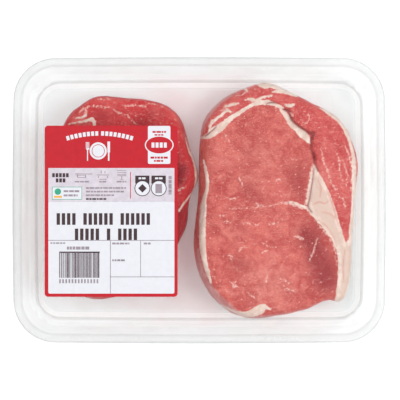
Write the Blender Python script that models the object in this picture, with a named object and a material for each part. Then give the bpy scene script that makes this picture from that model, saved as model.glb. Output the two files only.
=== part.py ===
"""A clear tray pack of two raw beef steaks: thermoformed tray, sealed film lid, label and steaks.

Run with Blender 4.5. Lengths below are millimetres unless a name says otherwise, and become metres
in the meshes. +X runs along the tray, +Y across it, +Z up. The origin is the middle of the tray's foot.
"""

import math

import bmesh
import bpy
from mathutils import Vector

MM = 0.001

# The tray: a rounded rectangle with a flat sealing flange and a turned-down lip.
TRAY_LENGTH = 228.0
TRAY_WIDTH = 175.0
TRAY_HEIGHT = 36.0
SHEET_THICKNESS = 0.7
CORNER_RADIUS = 26.0
SIDE_BOW = 0.6
CORNER_STEPS = 8
SIDE_STEPS = 4
SMOOTH_UP_TO_DEGREES = 50

# Each corner of the tray has two upright lugs that keep nested trays apart.
LUG_CORNER_STEPS = (3, 5)
LUG_DEPTH = 1.8

# The raised panel that the meat lies on, inside a flat foot that runs round it.
PANEL_RISE = 1.6
PANEL_TOP = SHEET_THICKNESS + PANEL_RISE

# Pieces that lie on each other keep this gap.
TOUCH_GAP = 0.3

# The film lid and the label on it.
FILM_INSET = 0.5
FILM_THICKNESS = 0.3
LABEL_WIDTH = 81.5
LABEL_HEIGHT = 105.0
LABEL_THICKNESS = 0.3
LABEL_CORNER_RADIUS = 2.0
LABEL_CENTRE = (-53.2, -6.9)
LABEL_CORNER_STEPS = 4
LABEL_SIDE_STEPS = 1

# Both steaks: rings of points run out over the top face, down the cut edge and back under.
STEAK_THICKNESS = 22.0
STEAK_SEGMENTS = 84
CURVE_STEPS = 24
TOP_RINGS = (0.18, 0.35, 0.49, 0.61, 0.71, 0.80, 0.88, 0.94)
UNDERSIDE_RING = 0.80
# The cut edge: how far each ring stands in from the outline, and its share of the thickness.
STEAK_EDGE = (
    (4.0, 0.990),
    (1.9, 0.950),
    (0.6, 0.840),
    (0.0, 0.560),
    (0.4, 0.220),
    (2.0, 0.045),
    (4.4, 0.000),
)
LEAN_POWER = 1.5

# A fine unevenness all over the top faces: height, and the spacing along X and Y.
RIPPLE_HEIGHT = 0.22
RIPPLE_LENGTHS = (4.7, 6.1)

# The soft valley along a seam between two muscles.
SEAM_DEPTH = 1.2
SEAM_HALF_WIDTH = 3.0

# The narrow open crevice in the larger steak's seam.
CREVICE_DEPTH = 3.4
CREVICE_HALF_WIDTH = 1.5
CREVICE_CLEAR = 3.0

RIGHT_STEAK_CENTRE = (46.2, 0.0)
RIGHT_STEAK_OUTLINE = (
    (-3.9, 72.7), (-17.4, 69.6), (-29.4, 64.7), (-38.4, 57.7), (-44.9, 48.0), (-47.2, 31.1),
    (-47.8, 2.5), (-50.6, -28.1), (-45.7, -49.7), (-34.4, -65.1), (-18.1, -72.8), (3.5, -71.0),
    (21.0, -67.0), (32.0, -61.8), (41.9, -62.0), (46.5, -50.3), (48.2, -27.2), (50.3, 16.0),
    (47.6, 37.0), (39.7, 50.6), (23.8, 59.8), (8.0, 67.6),
)
# Which way the cut side slopes outwards below the top face, and by how much.
RIGHT_STEAK_LEAN = (-4.4, -0.6)
# The seam between the cap muscle and the eye of the meat, and the part of it that gapes.
RIGHT_STEAK_SEAM = (
    (-39.0, 40.0), (-27.0, 46.5), (-12.0, 57.5), (2.0, 59.5), (10.2, 50.0), (23.8, 40.5), (25.0, 22.3),
)
RIGHT_STEAK_CREVICE = (
    (7.0, 57.2), (9.6, 51.0), (15.1, 45.6), (22.6, 40.9), (24.2, 33.5), (24.6, 25.0), (26.0, 15.0),
)
# Swellings and hollows of the top face: place, radius and height.
RIGHT_STEAK_SWELLS = (
    (-6.0, 20.0, 26.0, 1.0),
    (20.0, 6.0, 15.0, -1.1),
    (34.0, 28.0, 13.0, 0.9),
    (33.0, -40.0, 12.0, -1.7),
    (-14.0, -40.0, 24.0, 0.9),
    (0.0, -4.0, 14.0, -0.5),
)

LEFT_STEAK_CENTRE = (-45.7, 1.1)
LEFT_STEAK_OUTLINE = (
    (-17.0, 63.0), (0.0, 62.0), (15.0, 60.6), (28.3, 55.6), (36.3, 46.4), (40.6, 31.0),
    (44.6, 15.0), (42.0, 5.0), (39.0, -6.0), (35.1, -24.0), (26.0, -42.0), (14.0, -54.5),
    (-4.0, -61.8), (-21.0, -63.0), (-34.0, -54.0), (-41.0, -37.0), (-44.0, -8.0), (-43.5, 26.0),
    (-37.0, 48.0), (-28.0, 57.2),
)
LEFT_STEAK_LEAN = (4.6, -3.6)
LEFT_STEAK_SEAM = ((-34.0, 40.0), (-20.0, 48.0), (-4.0, 50.0), (12.0, 44.0), (26.0, 30.0), (31.0, 10.0))
LEFT_STEAK_SWELLS = (
    (-4.0, 12.0, 24.0, 1.0),
    (34.0, 28.0, 12.0, 0.7),
    (8.0, -34.0, 20.0, 0.6),
    (-26.0, 0.0, 15.0, -0.7),
)


def material(name, colour, roughness, alpha=1.0):
    """A Principled material of one colour."""
    made = bpy.data.materials.new(name)
    made.use_nodes = True
    shader = made.node_tree.nodes["Principled BSDF"]
    shader.inputs["Base Color"].default_value = (*colour, 1.0)
    shader.inputs["Roughness"].default_value = roughness
    shader.inputs["Metallic"].default_value = 0.0
    shader.inputs["Alpha"].default_value = alpha
    return made


def new_object(name, shape, finish):
    """Puts a finished bmesh, made in millimetres, into the scene as one named object in metres."""
    bmesh.ops.scale(shape, vec=(MM, MM, MM), verts=shape.verts)
    mesh = bpy.data.meshes.new(name)
    shape.to_mesh(mesh)
    shape.free()
    mesh.materials.append(finish)
    mesh.shade_smooth()
    mesh.set_sharp_from_angle(angle=math.radians(SMOOTH_UP_TO_DEGREES))
    placed = bpy.data.objects.new(name, mesh)
    bpy.context.scene.collection.objects.link(placed)
    return placed


def rounded_rectangle(half_x, half_y, radius, corner_steps, side_steps, bow=0.0):
    """Points anticlockwise round a rectangle with round corners, its straight sides bowed out a little."""
    points = []
    for corner, (sign_x, sign_y) in enumerate(((1, 1), (-1, 1), (-1, -1), (1, -1))):
        centre = Vector((sign_x * (half_x - radius), sign_y * (half_y - radius)))
        for step in range(corner_steps + 1):
            angle = math.radians(90) * (corner + step / corner_steps)
            points.append(centre + radius * Vector((math.cos(angle), math.sin(angle))))
        along_x = corner % 2 == 0
        run = 2 * ((half_x if along_x else half_y) - radius)
        heading = Vector((-sign_x, 0)) if along_x else Vector((0, -sign_y))
        outward = Vector((0, sign_y)) if along_x else Vector((sign_x, 0))
        start = points[-1]
        for step in range(1, side_steps):
            share = step / side_steps
            swell = bow * math.sin(math.pi * share)
            points.append(start + heading * run * share + outward * swell)
    return points


def add_loop(shape, points, height):
    return [shape.verts.new((point.x, point.y, height)) for point in points]


def join_loops(shape, outer, inner):
    """Quads between two loops that have the same number of points."""
    count = len(outer)
    for i in range(count):
        j = (i + 1) % count
        shape.faces.new((outer[i], outer[j], inner[j], inner[i]))


def tray_profile():
    """The tray's upper surface from its turned-down lip to the panel in the middle of its base.

    Each row is: inset from the outer edge along X and along Y, height, how much smaller the corner
    radius is than the outer one, and the share of a lug's depth.
    """
    top = TRAY_HEIGHT
    foot = SHEET_THICKNESS
    return (
        (0.0, 0.0, top - 3.2, 0.0, 0.0),
        (0.2, 0.2, top - 1.3, 0.1, 0.0),
        (0.7, 0.7, top - 0.3, 0.5, 0.0),
        (1.5, 1.5, top, 1.2, 0.0),
        (4.3, 4.3, top, 3.7, 0.0),
        (5.1, 5.2, top - 0.5, 4.3, 0.0),
        (5.5, 5.7, top - 1.6, 4.7, 0.0),
        (6.7, 7.6, 22.0, 5.9, 0.0),
        (7.4, 8.8, 13.4, 6.7, 0.0),
        (7.6, 9.1, 12.4, 6.9, 0.9),
        (8.3, 10.2, 5.4, 7.6, 1.0),
        (9.0, 11.2, 2.7, 8.2, 0.9),
        (10.2, 12.4, 1.2, 9.2, 0.5),
        (12.0, 14.2, foot, 10.6, 0.0),
        (14.8, 16.8, foot, 12.4, 0.0),
        (15.5, 17.5, foot + 0.4, 12.8, 0.0),
        (16.2, 18.2, PANEL_TOP - 0.4, 13.4, 0.0),
        (17.0, 19.0, PANEL_TOP, 14.0, 0.0),
    )


def make_tray(finish):
    """The tray as a bowl-shaped surface, which a Solidify modifier thickens downwards and outwards."""
    shape = bmesh.new()
    loops = []
    points_per_corner = CORNER_STEPS + SIDE_STEPS
    for inset_x, inset_y, height, tighter, lug in tray_profile():
        half_x = TRAY_LENGTH / 2 - SIDE_BOW - inset_x
        half_y = TRAY_WIDTH / 2 - SIDE_BOW - inset_y
        points = rounded_rectangle(
            half_x, half_y, CORNER_RADIUS - tighter, CORNER_STEPS, SIDE_STEPS, SIDE_BOW
        )
        for corner in range(4):
            for step in LUG_CORNER_STEPS:
                angle = math.radians(90) * (corner + step / CORNER_STEPS)
                inward = -Vector((math.cos(angle), math.sin(angle)))
                points[corner * points_per_corner + step] += inward * lug * LUG_DEPTH
        loops.append(add_loop(shape, points, height))
    for outer, inner in zip(loops, loops[1:]):
        join_loops(shape, outer, inner)
    shape.faces.new(loops[-1])
    tray = new_object("tray", shape, finish)
    wall = tray.modifiers.new("sheet", "SOLIDIFY")
    wall.thickness = SHEET_THICKNESS * MM
    wall.offset = -1.0
    wall.use_even_offset = True
    return tray


def make_plate(name, points, low, thickness, centre, finish):
    """A flat plate of the given outline."""
    shape = bmesh.new()
    placed = [point + Vector(centre) for point in points]
    bottom = add_loop(shape, placed, low)
    top = add_loop(shape, placed, low + thickness)
    join_loops(shape, bottom, top)
    shape.faces.new(top)
    shape.faces.new(reversed(bottom))
    return new_object(name, shape, finish)


def make_film_and_label(film_finish, label_finish):
    """The film lies on the tray's flange, and the label on the film."""
    film_outline = rounded_rectangle(
        TRAY_LENGTH / 2 - SIDE_BOW - FILM_INSET,
        TRAY_WIDTH / 2 - SIDE_BOW - FILM_INSET,
        CORNER_RADIUS,
        CORNER_STEPS,
        SIDE_STEPS,
        SIDE_BOW,
    )
    film_low = TRAY_HEIGHT + TOUCH_GAP
    make_plate("film_lid", film_outline, film_low, FILM_THICKNESS, (0.0, 0.0), film_finish)
    label_outline = rounded_rectangle(
        LABEL_WIDTH / 2, LABEL_HEIGHT / 2, LABEL_CORNER_RADIUS, LABEL_CORNER_STEPS, LABEL_SIDE_STEPS
    )
    label_low = film_low + FILM_THICKNESS + TOUCH_GAP
    make_plate("label", label_outline, label_low, LABEL_THICKNESS, LABEL_CENTRE, label_finish)


def closed_curve(knots, count):
    """Evenly spaced points, anticlockwise, on a smooth closed curve through the given ones."""
    known = [Vector(knot) for knot in knots]
    fine = []
    for i in range(len(known)):
        before, start, end, after = (known[(i + k) % len(known)] for k in (-1, 0, 1, 2))
        for step in range(CURVE_STEPS):
            t = step / CURVE_STEPS
            slope = (end - before) * t
            bend = (2 * before - 5 * start + 4 * end - after) * t**2
            twist = (3 * start - before - 3 * end + after) * t**3
            fine.append(0.5 * (2 * start + slope + bend + twist))
    following = fine[1:] + fine[:1]
    spacing = sum((b - a).length for a, b in zip(fine, following)) / count
    even = []
    walked = 0.0
    for a, b in zip(fine, following):
        length = (b - a).length
        while len(even) < count and len(even) * spacing <= walked + length:
            even.append(a.lerp(b, (len(even) * spacing - walked) / length))
        walked += length
    if sum(a.cross(b) for a, b in zip(even, even[1:] + even[:1])) < 0:
        even.reverse()
    return even


def distance_to_line(place, line):
    """Distance from a point to an open chain of straight runs."""
    nearest = math.inf
    for start, end in zip(line, line[1:]):
        a, b = Vector(start), Vector(end)
        share = (place - a).dot(b - a) / (b - a).length_squared
        nearest = min(nearest, (place - a.lerp(b, min(1.0, max(0.0, share)))).length)
    return nearest


def surface_relief(place, seam, swells):
    """How far the top face stands above its mean height at a point."""
    height = 0.0
    for x, y, radius, rise in swells:
        height += rise * math.exp(-(((place - Vector((x, y))).length / radius) ** 2))
    height += RIPPLE_HEIGHT * math.sin(place.x / RIPPLE_LENGTHS[0]) * math.sin(place.y / RIPPLE_LENGTHS[1])
    height -= SEAM_DEPTH * math.exp(-((distance_to_line(place, seam) / SEAM_HALF_WIDTH) ** 2))
    return height


def make_steak(name, centre, outline, lean, seam, swells, finish):
    """A steak with a soft round edge, its cut side sloping out towards lean."""
    shape = bmesh.new()
    edge = closed_curve(outline, STEAK_SEGMENTS)
    outward = []
    for before, after in zip(edge[-1:] + edge[:-1], edge[1:] + edge[:1]):
        along = after - before
        outward.append(Vector((along.y, -along.x)).normalized())
    base = PANEL_TOP + TOUCH_GAP
    middle, slope = Vector(centre), Vector(lean)

    def edge_ring(inset, share):
        ring = []
        for point, out in zip(edge, outward):
            leaning_in = max(0.0, out.dot(slope)) * share**LEAN_POWER
            ring.append(point - out * (inset + leaning_in))
        return ring

    def add_ring(points, share):
        ring = []
        relief_share = max(0.0, 2 * share - 1)
        for point in points:
            height = base + STEAK_THICKNESS * share + surface_relief(point, seam, swells) * relief_share
            ring.append(shape.verts.new((*(point + middle), height)))
        return ring

    top_edge = edge_ring(*STEAK_EDGE[0])
    under_edge = edge_ring(*STEAK_EDGE[-1])
    rings = [add_ring([point * share for point in top_edge], 1.0) for share in TOP_RINGS]
    rings += [add_ring(edge_ring(inset, share), share) for inset, share in STEAK_EDGE]
    rings.append(add_ring([point * UNDERSIDE_RING for point in under_edge], 0.0))
    for upper, lower in zip(rings, rings[1:]):
        join_loops(shape, lower, upper)
    pole = shape.verts.new((*middle, base + STEAK_THICKNESS + surface_relief(Vector((0, 0)), seam, swells)))
    for a, b in zip(rings[0], rings[0][1:] + rings[0][:1]):
        shape.faces.new((a, b, pole))
    shape.faces.new(reversed(rings[-1]))
    bmesh.ops.recalc_face_normals(shape, faces=shape.faces)
    return new_object(name, shape, finish)


def cut_crevice(steak, centre, line, finish):
    """Cuts an open, wedge-shaped crevice along a line in a steak's top face, shallow at both ends."""
    shape = bmesh.new()
    middle = Vector(centre)
    surface = PANEL_TOP + TOUCH_GAP + STEAK_THICKNESS
    chain = [Vector(point) for point in line]
    sections = []
    for i, place in enumerate(chain):
        along = (chain[min(i + 1, len(chain) - 1)] - chain[max(i - 1, 0)]).normalized()
        across = Vector((-along.y, along.x)) * CREVICE_HALF_WIDTH
        depth = CREVICE_DEPTH * math.sqrt(math.sin(math.pi * (i + 0.5) / len(chain)))
        corners = (
            (*(place + middle - across), surface + CREVICE_CLEAR),
            (*(place + middle + across), surface + CREVICE_CLEAR),
            (*(place + middle), surface - depth),
        )
        sections.append([shape.verts.new(corner) for corner in corners])
    for first, second in zip(sections, sections[1:]):
        join_loops(shape, first, second)
    shape.faces.new(sections[0])
    shape.faces.new(reversed(sections[-1]))
    bmesh.ops.recalc_face_normals(shape, faces=shape.faces)
    cutter = new_object("crevice_cutter", shape, finish)
    cutter.hide_render = True
    cutter.display_type = "WIRE"
    cut = steak.modifiers.new("crevice", "BOOLEAN")
    cut.operation = "DIFFERENCE"
    cut.solver = "EXACT"
    cut.object = cutter


def main():
    for old in list(bpy.data.objects):
        bpy.data.objects.remove(old)
    clear_plastic = material("clear_plastic", (0.90, 0.92, 0.92), 0.15, alpha=0.35)
    clear_film = material("clear_film", (0.95, 0.95, 0.95), 0.08, alpha=0.15)
    label_paper = material("label_paper", (0.60, 0.03, 0.05), 0.35)
    raw_beef = material("raw_beef", (0.50, 0.07, 0.06), 0.38)

    make_tray(clear_plastic)
    make_film_and_label(clear_film, label_paper)
    steak_right = make_steak(
        "steak_right",
        RIGHT_STEAK_CENTRE,
        RIGHT_STEAK_OUTLINE,
        RIGHT_STEAK_LEAN,
        RIGHT_STEAK_SEAM,
        RIGHT_STEAK_SWELLS,
        raw_beef,
    )
    cut_crevice(steak_right, RIGHT_STEAK_CENTRE, RIGHT_STEAK_CREVICE, raw_beef)
    make_steak(
        "steak_left",
        LEFT_STEAK_CENTRE,
        LEFT_STEAK_OUTLINE,
        LEFT_STEAK_LEAN,
        LEFT_STEAK_SEAM,
        LEFT_STEAK_SWELLS,
        raw_beef,
    )


main()
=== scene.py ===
"""Looks of a clear tray pack of raw beef steaks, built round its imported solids.

Metres, +Z up. The photograph looks straight down, so what it shows at a pixel is placed by
from_photo(), which gives the point at a stated height, and photo_places() turns points back to pixels.
"""

import math
import random

import bpy
import numpy as np
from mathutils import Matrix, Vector


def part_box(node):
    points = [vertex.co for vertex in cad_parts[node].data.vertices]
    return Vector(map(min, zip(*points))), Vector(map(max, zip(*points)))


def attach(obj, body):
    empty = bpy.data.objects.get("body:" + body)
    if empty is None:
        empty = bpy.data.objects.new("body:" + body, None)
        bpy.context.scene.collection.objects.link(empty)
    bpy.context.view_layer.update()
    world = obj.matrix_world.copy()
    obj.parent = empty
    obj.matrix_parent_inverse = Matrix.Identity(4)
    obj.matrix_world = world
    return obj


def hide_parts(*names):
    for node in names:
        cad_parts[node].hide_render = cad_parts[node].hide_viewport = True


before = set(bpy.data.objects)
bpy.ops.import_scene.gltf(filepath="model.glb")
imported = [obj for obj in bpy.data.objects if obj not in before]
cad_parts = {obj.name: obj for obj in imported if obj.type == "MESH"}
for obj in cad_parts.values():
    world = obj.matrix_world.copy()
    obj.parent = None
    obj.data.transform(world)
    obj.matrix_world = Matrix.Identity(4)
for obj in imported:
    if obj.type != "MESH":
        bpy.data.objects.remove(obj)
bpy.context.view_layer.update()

MM = 0.001

# Keeps a division from zero.
TINY = 1e-9

# The photograph: 400 pixels a side, taken from straight above.
PHOTO_PIXELS = 400
PIXEL_AT_RIM = 0.608 * MM
RIM_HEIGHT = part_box("tray")[1].z
CAMERA_ABOVE_RIM = 1.0
CAMERA_OFFSET = (0.46 * MM, 0.15 * MM)
CAMERA_HEIGHT = RIM_HEIGHT + CAMERA_ABOVE_RIM
SENSOR = 36.0

# The tray's own sizes.
CORNER_RADIUS = 26.0 * MM
SIDE_BOW = 0.6 * MM
SHEET_THICKNESS = 0.7 * MM
OUTLINE_POINTS_PER_CORNER = 20
OUTLINE_POINTS_PER_SIDE = 8
LIP_DROP = 3.2 * MM


def from_photo(x, y, height):
    """The point at this height that the photograph shows at pixel (x, y)."""
    spread = PIXEL_AT_RIM * (CAMERA_HEIGHT - height) / CAMERA_ABOVE_RIM
    half = PHOTO_PIXELS / 2
    return Vector((CAMERA_OFFSET[0] + (x - half) * spread, CAMERA_OFFSET[1] + (half - y) * spread, height))


def photo_places(points):
    """The photograph's pixel, as x and y, at which each point is seen."""
    spread = PIXEL_AT_RIM * (CAMERA_HEIGHT - points[:, 2]) / CAMERA_ABOVE_RIM
    half = PHOTO_PIXELS / 2
    x = half + (points[:, 0] - CAMERA_OFFSET[0]) / spread
    y = half - (points[:, 1] - CAMERA_OFFSET[1]) / spread
    return np.stack((x, y), axis=1)


# Working with meshes

def deselect_all():
    bpy.ops.object.select_all(action="DESELECT")


def activate(piece):
    deselect_all()
    piece.select_set(True)
    bpy.context.view_layer.objects.active = piece


def select_everything():
    bpy.ops.mesh.select_all(action="SELECT")


def start_edit(piece):
    activate(piece)
    bpy.ops.object.mode_set(mode="EDIT")
    select_everything()


def end_edit():
    bpy.ops.object.mode_set(mode="OBJECT")


def named(name):
    """Names the object that was just added, and its mesh."""
    piece = bpy.context.object
    piece.name = name
    piece.data.name = name
    return piece


def apply_modifier(piece, kind, **settings):
    activate(piece)
    modifier = piece.modifiers.new(kind.lower(), kind)
    for key, value in settings.items():
        setattr(modifier, key, value)
    bpy.ops.object.modifier_apply(modifier=modifier.name)


def smooth(piece, degrees=35):
    activate(piece)
    bpy.ops.object.shade_smooth_by_angle(angle=math.radians(degrees))


def merged_copy(node, name):
    """A copy of a solid's mesh with its loose triangles joined up."""
    piece = bpy.data.objects.new(name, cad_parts[node].data.copy())
    piece.data.name = name
    bpy.context.scene.collection.objects.link(piece)
    piece.data.materials.clear()
    start_edit(piece)
    bpy.ops.mesh.remove_doubles(threshold=0.00001)
    end_edit()
    return piece


def read_points(piece):
    points = np.empty(len(piece.data.vertices) * 3)
    piece.data.vertices.foreach_get("co", points)
    return points.reshape(-1, 3)


def write_points(piece, points):
    piece.data.vertices.foreach_set("co", points.ravel())
    piece.data.update()


def write_attribute(piece, name, values):
    attribute = piece.data.attributes.new(name, "FLOAT", "POINT")
    attribute.data.foreach_set("value", np.asarray(values, dtype=np.float32))


def new_piece(name):
    """An empty piece at the origin, to which primitives are added in edit mode."""
    piece = bpy.data.objects.new(name, bpy.data.meshes.new(name))
    bpy.context.scene.collection.objects.link(piece)
    return piece


def cut_across(piece, axis, place):
    """Cuts a piece by the plane that crosses this axis at this place."""
    point, normal = [0.0, 0.0, 0.0], [0.0, 0.0, 0.0]
    point[axis], normal[axis] = place, 1.0
    select_everything()
    bpy.ops.mesh.bisect(plane_co=point, plane_no=normal, threshold=0.000001)


def thicken(thickness):
    """Raises all the flat faces in edit mode to this thickness, with every face pointing out."""
    select_everything()
    bpy.ops.mesh.extrude_region_move(TRANSFORM_OT_translate={"value": (0.0, 0.0, thickness)})
    select_everything()
    bpy.ops.mesh.normals_make_consistent(inside=False)


def soft_step(values, low, high):
    """From 0 at the low value to 1 at the high one, with soft ends."""
    share = np.clip((values - low) / (high - low), 0.0, 1.0)
    return share * share * (3 - 2 * share)


def finish_piece(piece, node):
    """Hands a finished piece over: it moves with the pack and stands for a solid, or rides on one."""
    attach(piece, "root")
    if node:
        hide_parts(node)


# Building materials

def new_tree(name):
    made = bpy.data.materials.new(name)
    made.use_nodes = True
    made.node_tree.nodes.clear()
    return made, made.node_tree


def add_node(tree, kind, inputs=None, **settings):
    """Adds a node. An input's value is another node's output or a plain value."""
    node = tree.nodes.new(kind)
    for key, value in settings.items():
        setattr(node, key, value)
    for key, value in (inputs or {}).items():
        if isinstance(value, bpy.types.NodeSocket):
            tree.links.new(value, node.inputs[key])
        else:
            node.inputs[key].default_value = value
    return node


def object_place(tree):
    return add_node(tree, "ShaderNodeTexCoord").outputs["Object"]


def stretched(tree, place, scale, turn=0.0):
    """Coordinates scaled by a different amount each way and turned about Z."""
    inputs = {"Vector": place, "Scale": scale, "Rotation": (0.0, 0.0, math.radians(turn))}
    return add_node(tree, "ShaderNodeMapping", inputs).outputs["Vector"]


def noise(tree, place, size, detail=3.0, roughness=0.55, distortion=0.0):
    """Smooth noise from 0 to 1 whose grains are about this size."""
    inputs = {
        "Vector": place, "Scale": 1.0 / size, "Detail": detail,
        "Roughness": roughness, "Distortion": distortion,
    }
    return add_node(tree, "ShaderNodeTexNoise", inputs).outputs["Fac"]


def cells(tree, place, size, feature="F1", output="Distance"):
    inputs = {"Vector": place, "Scale": 1.0 / size}
    return add_node(tree, "ShaderNodeTexVoronoi", inputs, feature=feature).outputs[output]


def attribute(tree, name):
    return add_node(tree, "ShaderNodeAttribute", attribute_name=name).outputs["Fac"]


def maths(tree, operation, first, second=0.0, third=0.0):
    inputs = {0: first, 1: second, 2: third}
    return add_node(tree, "ShaderNodeMath", inputs, operation=operation).outputs[0]


def times(tree, first, second):
    return maths(tree, "MULTIPLY", first, second)


def plus(tree, first, second):
    return maths(tree, "ADD", first, second)


def ramp(tree, value, low, high, out_low=0.0, out_high=1.0):
    """The value carried from one range to another, with soft ends."""
    inputs = {"Value": value, "From Min": low, "From Max": high, "To Min": out_low, "To Max": out_high}
    return add_node(tree, "ShaderNodeMapRange", inputs, interpolation_type="SMOOTHSTEP").outputs["Result"]


def mixed(tree, share, first, second, blend="MIX"):
    """A mix of two colours, each a plain colour or another node's output."""
    inputs = {0: share}
    for key, value in ((6, first), (7, second)):
        inputs[key] = value if isinstance(value, bpy.types.NodeSocket) else (*value, 1.0)
    return add_node(tree, "ShaderNodeMix", inputs, data_type="RGBA", blend_type=blend).outputs[2]


def bump(tree, height, strength, distance, below=None):
    inputs = {"Height": height, "Strength": strength, "Distance": distance}
    if below is not None:
        inputs["Normal"] = below
    return add_node(tree, "ShaderNodeBump", inputs).outputs["Normal"]


def principled(tree, inputs):
    return add_node(tree, "ShaderNodeBsdfPrincipled", inputs).outputs["BSDF"]


def output(tree, shader):
    add_node(tree, "ShaderNodeOutputMaterial", {"Surface": shader})


def facing_share(tree, normal):
    """From 0 where the surface is seen square on to 1 where it is seen along itself."""
    return add_node(tree, "ShaderNodeLayerWeight", {"Blend": 0.5, "Normal": normal}).outputs["Facing"]


def see_through(tree, tint, share, shader):
    """A shader over a clear one: share is how much of it shows."""
    clear = add_node(tree, "ShaderNodeBsdfTransparent", {"Color": tint}).outputs["BSDF"]
    return add_node(tree, "ShaderNodeMixShader", {0: share, 1: clear, 2: shader}).outputs["Shader"]


# How far the painted pink shade between the steaks reaches from the tray's middle.
PAINTED_PINK_SHADE_REACH = (62 * MM, 88 * MM, 16 * MM)

# What the tray's sheet lets through: the clear sheet, the painted pink shade between the steaks, and then
# each part's own share of that.
CLEAR_TINT = (0.952, 0.965, 0.965)
PAINTED_PINK_SHADE_TINT = (0.900, 0.815, 0.820)
# The foot's share is painted shade, darker where the sheet rests on the floor.
FOOT_PAINTED_SHADE = (0.905, 0.897, 0.897)
BEND_TINT = (0.985, 0.985, 0.985)
WALL_TINT = (0.965, 0.965, 0.965)
RIM_TINT = (0.870, 0.870, 0.870)
FLANGE_TINT = (1.052, 1.040, 1.040)
LIP_TINT = (0.910, 0.915, 0.915)

# The heights between which each part of the tray gives way to the next.
FOOT_ENDS = (1.2 * MM, 2.2 * MM)
BEND_ENDS = (5 * MM, 9 * MM)
WALL_STARTS = (7 * MM, 12 * MM)
RIM_STARTS = (31.5 * MM, 33.0 * MM)
FLANGE_STARTS = (34.8 * MM, 35.6 * MM)


def tray_finish():
    """Clear, slightly hazy sheet, whiter where it is seen along its surface, with painted pink shade between
    the steaks and painted shade on its foot.
    """
    made, tree = new_tree("clear_tray_sheet")
    place = object_place(tree)
    drawn = noise(tree, stretched(tree, place, (1.0, 1.0, 0.12)), 1.6 * MM, 2.0)
    waves = noise(tree, place, 14 * MM, 1.0)
    normal = bump(tree, drawn, 0.12, 0.25 * MM)
    normal = bump(tree, waves, 0.25, 1.2 * MM, normal)
    edge_haze = ramp(tree, facing_share(tree, normal), 0.1, 1.0, 0.0, 0.04)
    cloudy = ramp(tree, waves, 0.25, 0.8, 0.14, 0.18)
    share = plus(tree, edge_haze, cloudy)
    tone = mixed(tree, ramp(tree, drawn, 0.2, 0.8), (0.84, 0.85, 0.85), (0.93, 0.94, 0.94))
    sheet = principled(tree, {"Base Color": tone, "Roughness": 0.16, "IOR": 1.5, "Normal": normal})

    # Painted shade: the sheet is tinted pink and darker towards its middle, between the steaks.
    spread = stretched(tree, place, tuple(1 / reach for reach in PAINTED_PINK_SHADE_REACH))
    away = add_node(tree, "ShaderNodeVectorMath", {0: spread}, operation="LENGTH").outputs["Value"]
    uneven = plus(tree, away, maths(tree, "MULTIPLY_ADD", waves, 0.5, -0.25))
    tint = mixed(tree, ramp(tree, uneven, 0.25, 1.2, 1.0, 0.0), CLEAR_TINT, PAINTED_PINK_SHADE_TINT)
    height = add_node(tree, "ShaderNodeSeparateXYZ", {"Vector": place}).outputs["Z"]
    outward = add_node(tree, "ShaderNodeNewGeometry").outputs["Normal"]
    upward = add_node(tree, "ShaderNodeSeparateXYZ", {"Vector": outward}).outputs["Z"]
    flat = ramp(tree, maths(tree, "ABSOLUTE", upward), 0.85, 0.98)
    # Painted shade on the flat foot that rests on the floor.
    foot = times(tree, ramp(tree, height, *FOOT_ENDS, 1.0, 0.0), flat)
    steep = ramp(tree, flat, 0.0, 1.0, 1.0, 0.0)
    bend = times(tree, steep, ramp(tree, height, *BEND_ENDS, 1.0, 0.0))
    wall = ramp(tree, height, *WALL_STARTS)
    rim = ramp(tree, height, *RIM_STARTS)
    flange = ramp(tree, height, *FLANGE_STARTS)
    parts = (
        (foot, FOOT_PAINTED_SHADE), (bend, BEND_TINT), (wall, WALL_TINT), (rim, RIM_TINT), (flange, FLANGE_TINT),
        (attribute(tree, "lip"), LIP_TINT),
    )
    for part, part_tint in parts:
        tint = mixed(tree, part, tint, part_tint, "MULTIPLY")
    output(tree, see_through(tree, tint, share, sheet))
    return made


def film_finish():
    """Very clear, glossy film."""
    made, tree = new_tree("clear_lid_film")
    fine = noise(tree, object_place(tree), 9 * MM, 2.0)
    normal = bump(tree, fine, 0.12, 0.5 * MM)
    share = ramp(tree, facing_share(tree, normal), 0.0, 1.0, 0.01, 0.16)
    inputs = {"Base Color": (0.6, 0.6, 0.6, 1.0), "Roughness": 0.1, "IOR": 1.5, "Normal": normal}
    output(tree, see_through(tree, (1.0, 1.0, 1.0, 1.0), share, principled(tree, inputs)))
    return made


def ink_finish(name, colour, variation=0.05):
    """Printed paper of one colour: slightly uneven ink on a fine paper grain."""
    made, tree = new_tree(name)
    place = object_place(tree)
    mottle = noise(tree, place, 3.2 * MM, 4.0, 0.6)
    grain = noise(tree, place, 0.35 * MM, 2.0)
    deep = [channel * (1.0 - variation) for channel in colour]
    light = [min(1.0, channel * (1.0 + variation)) for channel in colour]
    tone = mixed(tree, ramp(tree, mottle, 0.3, 0.7), deep, light)
    inputs = {
        "Base Color": tone, "Roughness": ramp(tree, grain, 0.2, 0.8, 0.36, 0.5),
        "Specular IOR Level": 0.28, "Normal": bump(tree, grain, 0.15, 0.03 * MM),
    }
    output(tree, principled(tree, inputs))
    return made


# Colours of raw beef, as light that the surface gives back.
EYE_LIGHT = (0.630, 0.122, 0.098)
EYE_DEEP = (0.445, 0.040, 0.037)
# The colour of painted shade on the larger steak.
EYE_PAINTED_SHADE = (0.275, 0.014, 0.020)
CAP_LIGHT = (0.610, 0.090, 0.082)
CAP_DEEP = (0.470, 0.028, 0.030)
SMALL_LIGHT = (0.585, 0.023, 0.028)
SMALL_DEEP = (0.470, 0.010, 0.017)
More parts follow.
